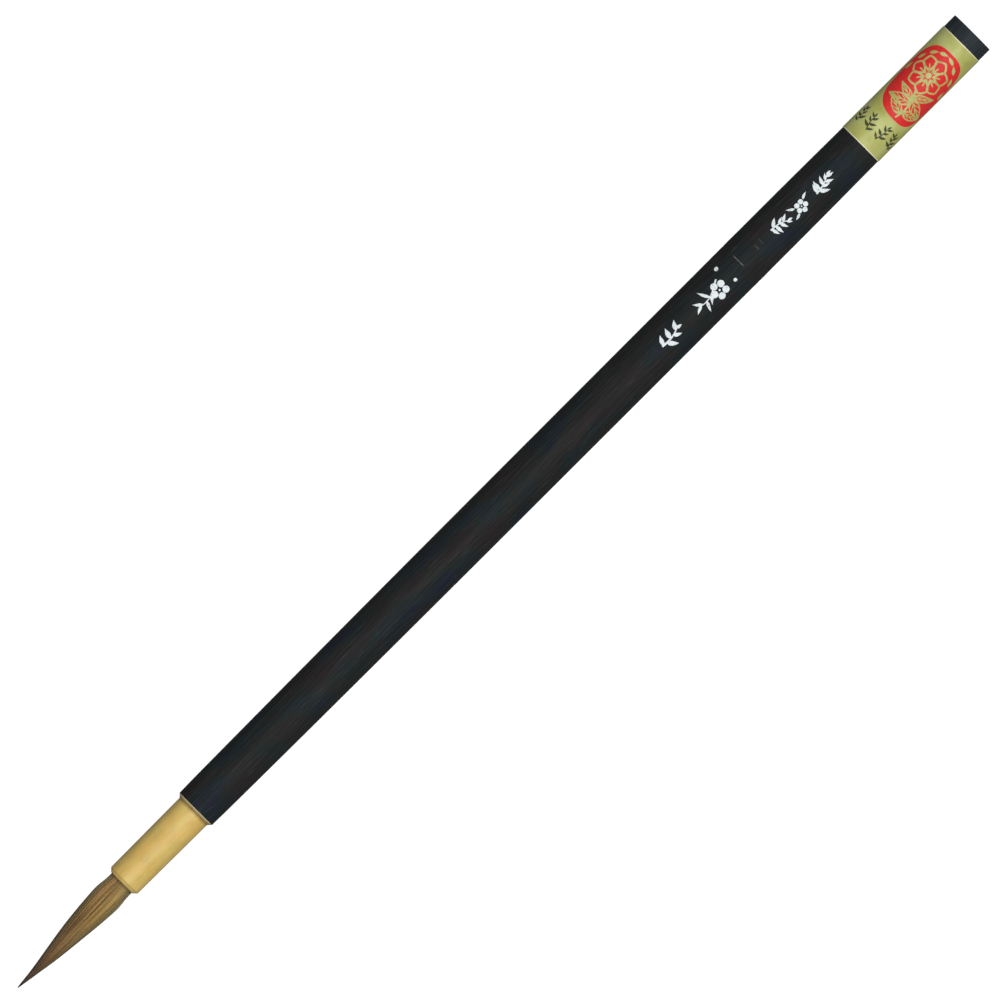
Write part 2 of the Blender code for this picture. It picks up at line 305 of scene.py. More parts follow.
class Shader:
    """A Principled material while it is being wired."""

    def __init__(self, name, roughness, specular=0.5):
        self.material = bpy.data.materials.new(name)
        self.material.use_nodes = True
        self.tree = self.material.node_tree
        self.surface = self.tree.nodes["Principled BSDF"]
        self.set("Roughness", roughness)
        self.set("Specular IOR Level", specular)

    def node(self, kind, **settings):
        made = self.tree.nodes.new(kind)
        for key, value in settings.items():
            setattr(made, key, value)
        return made

    def feed(self, target, value):
        """Gives an input a number, a colour or another node's output."""
        if isinstance(value, (int, float, tuple)):
            target.default_value = value
        else:
            self.tree.links.new(value, target)

    def place(self, x_size, across_size):
        """Object coordinates in units of x_size along the brush and across_size across it, in mm."""
        coordinates = self.node("ShaderNodeTexCoord")
        mapping = self.node("ShaderNodeMapping")
        along, across = 1 / (x_size * MM), 1 / (across_size * MM)
        self.feed(mapping.inputs["Scale"], (along, across, across))
        self.feed(mapping.inputs["Vector"], coordinates.outputs["Object"])
        return mapping.outputs["Vector"]

    def noise(self, x_size, across_size, detail=2.0, roughness=0.5, shift=0.0):
        """Noise whose grains are about x_size by across_size mm."""
        made = self.node("ShaderNodeTexNoise", noise_dimensions="4D")
        for name, value in (
            ("Scale", 1.0), ("W", shift), ("Detail", detail), ("Roughness", roughness),
            ("Vector", self.place(x_size, across_size)),
        ):
            self.feed(made.inputs[name], value)
        return made.outputs["Fac"]

    def ramp(self, value, *stops):
        """Colour ramp. Each stop is (position, colour) with a display colour or a grey value."""
        made = self.node("ShaderNodeValToRGB")
        while len(made.color_ramp.elements) < len(stops):
            made.color_ramp.elements.new(0.5)
        for element, (position, colour) in zip(made.color_ramp.elements, stops):
            element.position = position
            element.color = linear(*colour) if isinstance(colour, tuple) else grey(colour)
        self.feed(made.inputs["Fac"], value)
        return made.outputs["Color"]

    def span(self, value, low, high, out_low, out_high):
        made = self.node("ShaderNodeMapRange")
        for name, setting in (
            ("From Min", low), ("From Max", high), ("To Min", out_low), ("To Max", out_high),
            ("Value", value),
        ):
            self.feed(made.inputs[name], setting)
        return made.outputs["Result"]

    def mix(self, factor, first, second, kind="MIX"):
        made = self.node("ShaderNodeMix", data_type="RGBA", blend_type=kind)
        for target, value in ((0, factor), (6, first), (7, second)):
            self.feed(made.inputs[target], value)
        return made.outputs[2]

    def tinted(self, colour, tint):
        return self.mix(1.0, colour, tint, "MULTIPLY")

    def product(self, first, second):
        made = self.node("ShaderNodeMath", operation="MULTIPLY")
        for target, value in ((0, first), (1, second)):
            self.feed(made.inputs[target], value)
        return made.outputs[0]

    def attribute(self, name):
        return self.node("ShaderNodeAttribute", attribute_name=name).outputs["Fac"]

    def axis(self, name):
        """Object coordinate X, Y or Z, in metres."""
        coordinates = self.node("ShaderNodeTexCoord")
        parts = self.node("ShaderNodeSeparateXYZ")
        self.feed(parts.inputs["Vector"], coordinates.outputs["Object"])
        return parts.outputs[name]

    def window(self, value, low, high, softness):
        """1 while a value is between low and high metres, fading over softness outside them."""
        rise = self.span(value, low - softness, low, 0.0, 1.0)
        fall = self.span(value, high, high + softness, 1.0, 0.0)
        return self.product(rise, fall)

    def band(self, first, last, softness):
        """1 between two reaches, in mm."""
        return self.window(self.axis("X"), (POINT_X + first) * MM, (POINT_X + last) * MM, softness * MM)

    def patch(self, first, last, first_arc, last_arc, softness=0.05):
        """1 on a small patch of the top of the shaft, in mm, broken up by the grain."""
        along = self.band(first, last, softness)
        across = self.window(self.axis("Y"), -last_arc * MM, -first_arc * MM, 0.5 * MM)
        above = self.span(self.axis("Z"), AXIS_HEIGHT * MM, (AXIS_HEIGHT + 0.5) * MM, 0.0, 1.0)
        broken = self.span(self.noise(3, 0.22, 2, 0.5, 11.0), 0.40, 0.60, 0.25, 1.0)
        area = self.product(self.product(along, across), above)
        return self.product(area, broken)

    def bump(self, height, depth, strength=1.0):
        """Bump of a height of 0 to 1, depth mm deep."""
        made = self.node("ShaderNodeBump")
        for name, value in (("Strength", strength), ("Distance", depth * MM), ("Height", height)):
            self.feed(made.inputs[name], value)
        self.set("Normal", made.outputs["Normal"])

    def set(self, name, value):
        self.feed(self.surface.inputs[name], value)

    def finish(self, colour, grain, smooth, rough, depth):
        """Sets the colour, and lets a grain vary the roughness and raise the surface."""
        self.set("Base Color", colour)
        self.set("Roughness", self.span(grain, 0.3, 0.7, smooth, rough))
        self.bump(grain, depth, 0.5)
        return self.material


def dyed_bamboo():
    """Black dye over bamboo: fine lengthwise fibres, faint drifts of blue, green and brown, and pale slivers by
    the culm's sanded-down node, partly worn dye and partly a painted highlight where its ridge catches the light."""
    shader = Shader("dyed_bamboo", 0.5, 0.035)
    fibres = shader.noise(6, 0.12, 3, 0.6)
    streaks = shader.noise(11, 0.26, 2, 0.5, 3.0)
    scuffs = shader.noise(3.2, 0.16, 1, 0.5, 9.0)
    drift = shader.noise(9, 3.0, 2, 0.5, 7.0)
    tint = shader.ramp(
        drift, (0.30, (36, 38, 50)), (0.42, (34, 42, 44)), (0.53, (40, 41, 40)), (0.70, (44, 39, 42)),
    )
    butt = shader.band(LABEL_END - 0.5, SHAFT_END + 1, 0.3)
    tint = shader.mix(butt, tint, linear(46, 52, 56))
    light = shader.ramp(streaks, (0.30, 0.82), (0.52, 0.96), (0.72, 1.20))
    colour = shader.tinted(tint, light)
    colour = shader.tinted(colour, shader.ramp(scuffs, (0.62, 1.0), (0.72, 1.7)))
    grain = shader.ramp(fibres, (0.30, 0.62), (0.55, 1.0), (0.75, 1.65))
    colour = shader.tinted(colour, grain)
    # pale slivers by the node, partly worn dye and partly a painted highlight of its ridge
    for reach, half_length, first_arc, last_arc, amount in NODE_HIGHLIGHT_SLIVERS:
        worn = shader.patch(reach - half_length, reach + half_length, first_arc, last_arc)
        colour = shader.mix(shader.product(worn, amount), colour, linear(146, 142, 128))
    return shader.finish(colour, fibres, 0.42, 0.60, 0.010)


def raw_bamboo(name="raw_bamboo", light=(215, 189, 110), dark=(205, 173, 92), glow=(219, 176, 94)):
    """Bare bamboo with golden fibres along the brush: its shader, colour and fibres, to finish."""
    shader = Shader(name, 0.45, 0.3)
    fibres = shader.noise(7, 0.10, 3, 0.6)
    bands = shader.noise(18, 1.3, 2, 0.5, 2.0)
    clouds = shader.noise(4.5, 2.2, 2, 0.5, 5.0)
    shade = shader.noise(2.6, 1.6, 3, 0.5, 8.0)
    body = shader.ramp(bands, (0.32, dark), (0.60, light))
    body = shader.mix(shader.span(clouds, 0.46, 0.66, 0.0, 0.6), body, linear(*glow))
    body = shader.tinted(body, shader.ramp(shade, (0.30, 0.88), (0.50, 1.0), (0.7, 1.05)))
    grain = shader.ramp(fibres, (0.28, 0.84), (0.42, 0.98), (0.60, 1.0), (0.8, 1.05))
    body = shader.tinted(body, grain)
    return shader, body, fibres


def socket_bamboo():
    """Raw bamboo with painted shade in the opening of its mouth and in the joint beside the shaft, and a thin
    darker line round the outer edge of its chamfer.
    """
    shader, body, fibres = raw_bamboo()
    mouth_edge = SOCKET_MOUTH + SOCKET_CHAMFER
    for first, last, amount in (
        # painted shade in the mouth's opening, a thin darker line round the chamfer's outer edge, and painted
        # shade in the joint beside the shaft
        (SOCKET_MOUTH - 1, SOCKET_MOUTH + 0.08, 0.55),
        (mouth_edge - 0.12, mouth_edge + 0.02, 0.22),
        (SHAFT_START - 0.28, SHAFT_START + 1, 0.36),
    ):
        darker_band = shader.product(shader.band(first, last, 0.10), amount)
        body = shader.mix(darker_band, body, linear(112, 78, 36))
    return shader.finish(body, fibres, 0.38, 0.52, 0.010)


def shaft_end_bamboo():
    """The shaft's chamfered lower end: bare bamboo darker than the socket's, with a painted shadow next to the
    socket and a painted highlight right beside the dye.
    """
    shader, body, fibres = raw_bamboo("raw_bamboo_end", (178, 152, 96), (150, 124, 72), (168, 128, 70))
    # painted shadow where the end meets the socket
    inner = shader.product(shader.band(SHAFT_START - 1, SHAFT_START + 0.16, 0.10), 0.32)
    body = shader.mix(inner, body, linear(96, 70, 36))
    # a painted highlight along the chamfer's top edge, beside the dye
    body = shader.mix(shader.band(DYE_START - 0.14, DYE_START + 1, 0.03), body, linear(204, 200, 166))
    return shader.finish(body, fibres, 0.40, 0.55, 0.012)


def foil_paper():
    """Dull gold paper, faintly crinkled, with a painted highlight along each cut edge."""
    shader = Shader("foil_paper", 0.55, 0.55)
    crinkle = shader.noise(0.9, 0.9, 3, 0.6)
    mottle = shader.noise(3.0, 2.4, 3, 0.5, 4.0)
    body = shader.ramp(mottle, (0.30, (166, 167, 82)), (0.50, (178, 180, 102)), (0.70, (186, 193, 124)))
    # a painted highlight along each cut edge of the paper
    for first, last in ((LABEL_START - 1, LABEL_START + 0.14), (LABEL_END - 0.14, LABEL_END + 1)):
        edge = shader.product(shader.band(first, last, 0.03), 0.8)
        body = shader.mix(edge, body, linear(228, 230, 196))
    shader.set("Metallic", 0.04)
    return shader.finish(body, crinkle, 0.48, 0.62, 0.01)


def printing_ink(name, thick, thin):
    """Ink on paper or paint on bamboo, a little thinner in places."""
    shader = Shader(name, 0.5, 0.3)
    cover = shader.noise(0.35, 0.35, 3, 0.6)
    colour = shader.ramp(cover, (0.30, thin), (0.48, thick))
    return shader.finish(colour, cover, 0.50, 0.65, 0.006)


def hair(name, dark_core=False):
    """Animal hair, dark at its tips and with a painted shadow where it goes into the socket. It carries its tone
    (0 dark, 1 light), its side (0 olive, 1 red), its side shade (1 at the sides of the tuft, which get painted
    shade) and its reach (0 at the point, 1 at the socket)."""
    shader = Shader(name, 0.5, 0.2)
    tone = shader.attribute("tone")
    side = shader.attribute("side")
    reach = shader.attribute("reach")
    # the last stop darkens the hair where it goes into the socket: a painted shadow of the mouth
    body = shader.ramp(
        reach, (0.02, (66, 58, 50)), (0.17, (86, 68, 51)), (0.32, (114, 88, 54)),
        (0.47, (125, 99, 62)), (0.70, (137, 109, 62)), (0.90, (154, 125, 75)), (0.975, (149, 122, 76)),
        (1.0, (92, 78, 50)),
    )
    depth = shader.ramp(tone, (0.0, 0.34), (0.25, 0.68), (0.5, 1.0), (0.75, 1.32), (1.0, 1.75))
    body = shader.tinted(body, depth)
    tint = shader.mix(side, (0.96, 1.0, 0.92, 1), (1.04, 0.96, 0.98, 1))
    # painted shade: the sides of the tuft are tinted greyer
    tint = shader.mix(shader.attribute("side_shade"), tint, (0.80, 0.98, 1.15, 1))
    body = shader.tinted(body, tint)
    fine = shader.noise(1.6, 0.05, 2, 0.5)
    body = shader.tinted(body, shader.ramp(fine, (0.3, 0.88), (0.7, 1.10)))
    if dark_core:
        body = shader.tinted(body, (0.35, 0.34, 0.32, 1))
    return shader.finish(body, fine, 0.42, 0.58, 0.006)


def hemp():
    shader = Shader("hemp", 0.8, 0.2)
    twist = shader.noise(0.2, 0.08, 3, 0.6)
    shader.set("Base Color", shader.ramp(twist, (0.3, (160, 142, 105)), (0.7, (216, 202, 168))))
    shader.bump(twist, 0.03)
    return shader.material


def rosin():
    shader = Shader("rosin", 0.25, 0.5)
    flow = shader.noise(0.5, 0.6, 2, 0.5)
    shader.set("Base Color", shader.ramp(flow, (0.3, (92, 48, 18)), (0.7, (142, 86, 38))))
    shader.bump(flow, 0.03)
    return shader.material


# ---------------------------------------------------------------- handle

def reach_steps(first, last, spacing):
    count = max(1, math.ceil((last - first) / spacing))
    return [first + (last - first) * step / count for step in range(count + 1)]


def attach(piece, node):
    """Puts a piece on the handle, in the place of a CAD node."""
    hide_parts(node)
    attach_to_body(piece, "handle")


def make_shaft(material, raw_material):
    stations = reach_steps(DYE_START, CULM_NODE - 1.5, 2.5)
    stations += reach_steps(CULM_NODE - 1.2, CULM_NODE + 3.0, 0.06)
    stations += reach_steps(CULM_NODE + 3.3, SHAFT_END - 0.05, 1.5)
    stations.append(SHAFT_END)
    recess_end = SHAFT_START + TENON_RECESS_DEPTH
    outline = [
        (TENON_RECESS, DYE_START),
        *[(None, reach) for reach in stations],
        (PLUG_RECESS, SHAFT_END), (PLUG_RECESS, PLUG_START), (CULM_BORE, PLUG_START),
        (CULM_BORE, recess_end), (TENON_RECESS, recess_end),
    ]

    def surface(reach, angle, radius):
        if radius is not None:
            return radius
        return culm_radius(reach, angle) - (WORN_EDGE if reach == SHAFT_END else 0.0)

    shaft = turned_ring("shaft_culm", outline, material, surface=surface)
    attach(shaft, "shaft")

    end_profile = cad_profile("shaft", SHAFT_START - 0.01, DYE_START + 0.01, TENON_RECESS + 0.5)
    first_radius, last_radius = end_profile[0][1], end_profile[-1][1]
    raw_outline = [
        (TENON_RECESS, DYE_START), (TENON_RECESS, SHAFT_START), (first_radius - 0.04, SHAFT_START),
        (first_radius, SHAFT_START + 0.03), (last_radius - 0.015, DYE_START - 0.01),
        (last_radius - 0.03, DYE_START),
    ]
    raw_end = turned_ring("shaft_raw_end", raw_outline, raw_material)
    attach(raw_end, "shaft")


def make_butt_plug(material):
    """The plug's end, with a worn edge, just short of the shaft's own end."""
    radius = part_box("butt_plug")[1].y / MM
    rounding, corner = 0.08, SHAFT_END - 0.12
    outline = [(0.001, PLUG_START), (radius, PLUG_START), (radius, corner)]
    for step in range(1, 5):
        angle = math.pi / 2 * step / 4
        inward, onward = rounding * (1 - math.cos(angle)), rounding * math.sin(angle)
        outline.append((radius - inward, corner + onward))
    outline.append((0.001, SHAFT_END - 0.02))
    plug = turned_ring("butt_plug_end", outline, material, facets=96)
    attach(plug, "butt_plug")


def make_socket(material):
    shoulder = SHAFT_START - 0.005
    mouth_radius, shoulder_radius = SOCKET_RADII
    bore_end = SOCKET_MOUTH + SOCKET_BORE_DEPTH
    slant = SOCKET_EASING * math.sqrt(0.5)
    chamfer = [
        (mouth_radius - SOCKET_CHAMFER, SOCKET_MOUTH),
        (mouth_radius - SOCKET_CHAMFER + slant, SOCKET_MOUTH + slant),
        (mouth_radius - slant, SOCKET_MOUTH + SOCKET_CHAMFER - slant),
        (mouth_radius - 0.25 * slant, SOCKET_MOUTH + SOCKET_CHAMFER + 0.2 * SOCKET_EASING),
        (mouth_radius, SOCKET_MOUTH + SOCKET_CHAMFER + SOCKET_EASING),
    ]
    body = []
    body_start = chamfer[-1][1]
    for reach in reach_steps(body_start, shoulder - 0.02, 0.8)[1:]:
        share = (reach - body_start) / (shoulder - body_start)
        body.append((mouth_radius + (shoulder_radius - mouth_radius) * share, reach))
    outline = [
        (SOCKET_BORE, SOCKET_MOUTH + 0.03), (SOCKET_BORE + 0.03, SOCKET_MOUTH),
        *chamfer, *body,
        (shoulder_radius - 0.02, shoulder),
        (TENON_RADIUS, shoulder), (TENON_RADIUS, TENON_END), (SOCKET_VENT, TENON_END),
        (SOCKET_VENT, bore_end), (SOCKET_BORE, bore_end),
    ]

    def surface(reach, angle, radius):
        if radius < TENON_RADIUS + 0.01 or reach > shoulder:
            return radius
        return radius + 0.012 * ripple(angle, reach, 2.2, 12, 158.5)

    socket = turned_ring("socket_bamboo", outline, material, surface=surface)
    attach(socket, "socket")


def label_radius(reach, angle):
    """Outer face of the label, which lies a little unevenly on the shaft."""
    lift = LABEL_LIFT + LABEL_THICKNESS + 0.004 * ripple(angle, reach, 3.5, 2.6, 253.6)
    return float(smooth_curve(CULM_PROFILE, reach)) + lift


def make_label(material):
    """The paper strip, its outer end pasted over its start."""
    facets = 216
    extra = round(facets * LAP_ANGLE / math.tau)
    stations = reach_steps(LABEL_START, LABEL_END, 0.45)
    columns = facets + extra + 1
    inner_side, outer_side = [], []
    for reach in stations:
        for step in range(columns):
            # the CAD's facet angles count from the underside, the other way round
            angle = math.pi - (LAP_START + math.tau * step / facets)
            rise = (LABEL_THICKNESS + 0.01) * smoothstep(facets - 4, facets, step)
            outer = label_radius(reach, angle) + rise
            inner_side.append(to_world(reach, angle, outer - LABEL_THICKNESS))
            outer_side.append(to_world(reach, angle, outer))
    faces = shell_faces(len(stations), columns)
    label = add_mesh("label_strip", inner_side + outer_side, faces, material)
    label.data.set_sharp_from_angle(angle=math.radians(35))
    attach(label, "label")


# ---------------------------------------------------------------- painted and printed marks

PAINT_LIFT = 0.006
INK_LIFT = 0.004
OVERPRINT_LIFT = 0.007


def direction(heading):
    """Unit (reach, arc) step. Headings are in degrees, from the butt towards positive arc."""
    turn = math.radians(heading)
    return np.array([math.cos(turn), math.sin(turn)])


def sideways(spine):
    """Unit steps across a line of points, one for each."""
    tangent = np.gradient(spine, axis=0)
    tangent /= np.linalg.norm(tangent, axis=1)[:, None]
    return np.stack([-tangent[:, 1], tangent[:, 0]], 1)


class Marks:
    """Thin strokes laid on a round surface. Points are (reach, arc) in mm."""

    SUNK = 0.012

    def __init__(self, surface, lift):
        self.surface = surface
        self.lift = lift
        self.corners = []
        self.faces = []
        self.count = 0

    def ribbon(self, spine, half_widths, columns=3):
        """A stroke of changing width along a line of points, as a thin closed shell."""
        spine = np.asarray(spine, float)
        across = sideways(spine)
        rows = len(spine)
        lift = self.lift + 0.0006 * self.count
        self.count += 1
        base = len(self.corners)
        for height in (lift, -self.SUNK):
            for line in range(rows):
                for column in range(columns + 1):
                    share = 2 * column / columns - 1
                    reach, arc = spine[line] + across[line] * half_widths[line] * share
                    middle = self.surface(reach, 0.0)
                    angle = arc / middle
                    self.corners.append(to_world(reach, angle, self.surface(reach, angle) + height))
        self.faces += shell_faces(rows, columns + 1, base)

    def stroke(self, points, width, taper=0.5, columns=2):
        """A brush line of about one width, thinning by taper towards its end."""
        shares = np.linspace(0, 1, len(points))
        press = [1 + 0.12 * noise.noise(Vector((4 * share, 3.1 * self.count, 1.0))) for share in shares]
        halves = [width / 2 * (1 - taper * share) * rough for share, rough in zip(shares, press)]
        self.ribbon(points, halves, columns)

    def leaf(self, reach, arc, heading, length, width, bend=0.0):
        """A leaf laid down with a full brush: it swells soon after its stalk and ends in a point."""
        spine, along = self.spine(reach, arc, heading, length, bend)
        halves = []
        for share in along:
            rough = 1 + 0.14 * noise.noise(Vector((5 * share, 2.7 * self.count, 6.0)))
            halves.append(max(0.015, width / 2 * rough * math.sin(math.pi * share ** 0.72) ** 1.1))
        self.ribbon(spine, halves, columns=4)

    def petal(self, reach, arc, heading, size):
        """A round petal whose foot is at the given place."""
        spine, along = self.spine(reach, arc, heading, size, 0.0)
        halves = [max(0.02, size / 2 * (1 - (2 * share - 1) ** 2) ** 0.5) for share in along]
        self.ribbon(spine, halves, columns=4)

    def leaf_outline(self, reach, arc, heading, length, width, line, bend=0.0, blunt=0.72, veins=0):
        """A leaf or petal drawn by its edge, with a midrib and side veins if it has any."""
        spine, along = self.spine(reach, arc, heading, length, bend)
        beside = sideways(spine)
        swell = np.array([width / 2 * math.sin(math.pi * share ** blunt) for share in along])
        for side in (-1, 1):
            self.stroke(spine + side * beside * swell[:, None], line, 0.0)
        if veins:
            self.stroke(spine[:-1], line, 0.3)
        for index in range(veins):
            foot = round((0.12 + 0.62 * index / veins) * (len(along) - 1))
            head = min(foot + 3, len(along) - 1)
            for side in (-1, 1):
                vein = spine[head] + side * beside[head] * swell[head] - spine[foot]
                points = [spine[foot] + vein * share for share in np.linspace(0, 1, 4)]
                self.stroke(points, line * 0.8, 0.2)

    @staticmethod
    def spine(reach, arc, heading, length, bend):
        """The middle line of a stroke, and the share of its length at each point."""
        along, beside = direction(heading), direction(heading + 90)
        shares = (1 - np.cos(np.linspace(0, math.pi, 15))) / 2
        spine = [
            (reach, arc) + along * length * share + beside * bend * length * share ** 2
            for share in shares
        ]
        return np.array(spine), shares

    def spray(self, reach, arc, length, heading=0.0, mirror=1, leaves=7, weight=1.0):
        """A bamboo twig: a curved stem with pointed leaves on alternate sides and one at its end."""
        along, beside = direction(heading), direction(heading + 90)
        stem = []
        for share in np.linspace(0, 1, 14):
            sway = mirror * 0.12 * length * (math.sin(2.6 * share) - 0.5)
            stem.append((reach, arc) + along * length * (share - 0.5) + beside * sway)
        self.stroke(stem, 0.070 * length * weight, 0.6)
        for index in range(leaves):
            share = 0.04 + 0.80 * index / max(leaves - 1, 1)
            foot = stem[round(share * (len(stem) - 1))]
            side = mirror * (1 if index % 2 else -1)
            size = length * (0.52 - 0.024 * index) * (1.0 if index % 3 else 0.82)
            turned = heading + side * (64 - 4.5 * index + 9 * (index % 3))
            self.leaf(*foot, turned, size, size * 0.31 * weight, -0.16 * side)
        self.leaf(*stem[-2], heading + mirror * 12, length * 0.26, length * 0.10 * weight, 0.1)

    def blossom(self, reach, arc, size, turn=0.0):
        """A plum blossom: five round petals, almost touching, and a dot at the heart."""
        for petal in range(5):
            heading = turn + 72 * petal
            foot = (reach, arc) + 0.13 * size * direction(heading)
            self.petal(*foot, heading, 0.335 * size)
        self.petal(reach - 0.05 * size, arc, 0.0, 0.10 * size)

    def finish(self, name, material, slot):
        item = add_mesh(name, self.corners, self.faces, material)
        item.data.set_sharp_from_angle(angle=math.radians(40))
        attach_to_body(item, "handle")


def make_shaft_paintings(material):
    """Two bamboo twigs and a plum blossom above the node, a larger blossom and a twig below it."""
    for name, reach, arc, length, settings in (
        ("painted_twig_upper", 181.1, 0.15, 3.7, dict(heading=-22, leaves=8, weight=1.2)),
        ("painted_twig_middle", 171.7, 0.0, 3.4, dict(heading=20, mirror=-1, leaves=7, weight=1.2)),
        ("painted_twig_lower", 146.8, 0.3, 4.0, dict(heading=-12, leaves=5, weight=1.35)),
    ):
        marks = Marks(culm_radius, PAINT_LIFT)
        marks.spray(reach, arc, length, **settings)
        marks.finish(name, material, "dyed_bamboo")

    marks = Marks(culm_radius, PAINT_LIFT)
    heart = (176.2, 0.35)
    marks.blossom(*heart, 2.5, turn=14)
    for heading, size in ((205, 1.5), (150, 1.2), (-35, 1.3)):
        foot = heart + 1.15 * direction(heading)
        marks.leaf(*foot, heading, size, 0.42, 0.2)
    marks.finish("painted_blossom_upper", material, "dyed_bamboo")

    marks = Marks(culm_radius, PAINT_LIFT)
    marks.blossom(157.6, 0.55, 3.5, turn=38)
    stem = [
        (158.4 - 5.0 * share, -1.1 + 1.9 * math.sin(1.9 * share) - 0.5 * share)
        for share in np.linspace(0, 1, 14)
    ]
    marks.stroke(stem, 0.26, 0.5)
    for place, heading, size in (
        (5, 140, 2.0), (7, 235, 2.2), (9, 120, 1.9), (11, 215, 1.8), (12, 165, 1.5),
    ):
        marks.leaf(*stem[place], heading, size, 0.52, 0.14 if heading > 180 else -0.14)
    marks.petal(159.4, -2.0, 300, 0.75)
    marks.petal(160.3, 1.0, 40, 0.6)
    marks.finish("painted_blossom_lower", material, "dyed_bamboo")


def make_label_printing(red, dark, paper):
    """A red oval with a flower and leaves left in the paper's colour, and a row of dark twigs."""
    middle, half_length, half_arc, roundness = 203.2, 6.95, 5.0, 2 / 2.7
    seal = Marks(label_radius, INK_LIFT)
    spine, halves = [], []
    for turn in np.linspace(-math.pi / 2, math.pi / 2, 61):
        share = math.copysign(abs(math.sin(turn)) ** roundness, turn)
        rough = 1 + 0.022 * noise.noise(Vector((turn * 5, 0.3, 0.0)))
        spine.append((middle + half_length * share, 0.1 + 0.9 * smoothstep(0.2, -1.0, share)))
        halves.append(max(0.10, half_arc * math.cos(turn) ** roundness * rough))
    seal.ribbon(spine, halves, columns=44)
    seal.finish("label_seal", red, "foil_paper")

    flower = Marks(label_radius, OVERPRINT_LIFT)
    line = 0.30
    heart = (middle + 1.95, -0.05)
    for petal in range(7):
        heading = 12 + 360 / 7 * petal
        outward = direction(heading)
        foot = heart + 0.65 * outward
        flower.leaf_outline(*foot, heading, 2.65, 2.15, line, blunt=1.35)
        flower.stroke([foot + step * outward for step in (0.1, 0.5, 0.9, 1.3)], 0.24, 0.2)
    flower.petal(heart[0] - 0.5, heart[1], 0.0, 1.0)
    for turn in (2, 27, 50, 70):
        for side in (-1, 1):
            along, across = 6.15, 4.4 * side
            sine, cosine = math.sin(math.radians(turn)), math.cos(math.radians(turn))
            place = (middle + along * sine, 0.1 + across * cosine)
            heading = math.degrees(math.atan2(-across * sine, along * cosine))
            flower.leaf(*place, heading, 1.6, 0.58, -0.12 * side)
    stem = [
        (middle - 1.2 - 5.3 * share, 0.2 + 0.7 * math.sin(2.8 * share) + 0.4 * share)
        for share in np.linspace(0, 1, 12)
    ]
    flower.stroke(stem, 0.34, 0.2)
    for place, heading, length, width, bend in (
        (2, 66, 3.7, 1.15, -0.12), (3, -78, 3.5, 1.15, 0.10),
        (3, 118, 3.9, 1.7, -0.10), (4, -112, 4.0, 1.7, 0.10),
        (8, 84, 3.3, 1.35, -0.12), (9, -72, 3.6, 1.45, 0.12),
    ):
        flower.leaf_outline(*stem[place], heading, length, width, line * 0.63, bend, veins=4)
    flower.finish("label_seal_flower", paper, "foil_paper")

    border = Marks(label_radius, INK_LIFT)
    for index in range(4):
        border.spray(
            193.4, -3.9 + 2.6 * index, 2.8, heading=-14 + 9 * (index % 3), mirror=1 - 2 * (index % 2),
            leaves=6, weight=1.15,
        )
    border.finish("label_border", dark, "foil_paper")


# ---------------------------------------------------------------- tuft

class TuftMesh:
    """Corners, faces and hair attributes of one stretch of the tuft."""

    ATTRIBUTES = ("tone", "side", "side_shade", "reach")

    def __init__(self):
        self.corners = []
        self.faces = []
        self.caps = []
        self.values = []

    def cap(self, corners):
        self.caps.append(len(self.faces))
        self.faces.append(tuple(corners))

    def colour(self, tone, angle, reach, count=1):
        """Notes the attributes of the next corners."""
        tone = min(max(tone, 0.0), 1.0)
        values = (tone, side_of(angle, reach), side_shade_of(angle), min(reach / SOCKET_MOUTH, 1.0))
        self.values += [values] * count

    def finish(self, name, material):
        item = add_mesh(name, self.corners, self.faces, material, self.caps)
        for key, values in zip(self.ATTRIBUTES, zip(*self.values)):
            attribute = item.data.attributes.new(key, "FLOAT", "POINT")
            attribute.data.foreach_set("value", np.array(values, np.float32))
        return item


STRETCHES = (
    # name, near and far reach, parent and child body, reach where the blend starts,
    # and the CAD nodes that its cover and its core stand for
    ("belly", HAIR_ROOT, BELLY_MIDDLE_CUT, "handle", "tuft_belly", BELLY_BEND + 2.2,
     ("cover_hair_root", "cover_hair_belly"), ("core_hair_root", "core_hair_belly")),
    ("middle", BELLY_MIDDLE_CUT, MIDDLE_WAIST_CUT, "tuft_belly", "tuft_middle", BELLY_MIDDLE_CUT,
     ("cover_hair_middle",), ("core_hair_middle",)),
    ("waist", MIDDLE_WAIST_CUT, WAIST_POINT_CUT, "tuft_middle", "tuft_waist", MIDDLE_WAIST_CUT,
     ("cover_hair_waist",), ("core_hair_waist",)),
    ("point", WAIST_POINT_CUT, 0.0, "tuft_waist", "tuft_point", WAIST_POINT_CUT,
     ("tip_hair",), ()),
)


def side_of(angle, reach):
    """0 where the hair is olive, 1 in the red locks left of the middle and towards the point."""
    blur = 0.35 * ripple(angle, reach, 3.0, 9.0, 17.3)
    low_red = 0.4 * smoothstep(12.0, 7.0, reach)
    across = -math.sin(angle) + blur
    # the red fades at the +Y side, part of the painted side shade
    side_shade = smoothstep(0.70, 0.95, across)
    return smoothstep(-0.30, 0.45, across + low_red) * (1 - 0.8 * side_shade)


def side_shade_of(angle):
    """1 at the sides of the tuft, which get a painted shade: greyer, darker hair."""
    return smoothstep(0.55, 0.95, abs(math.sin(angle)))


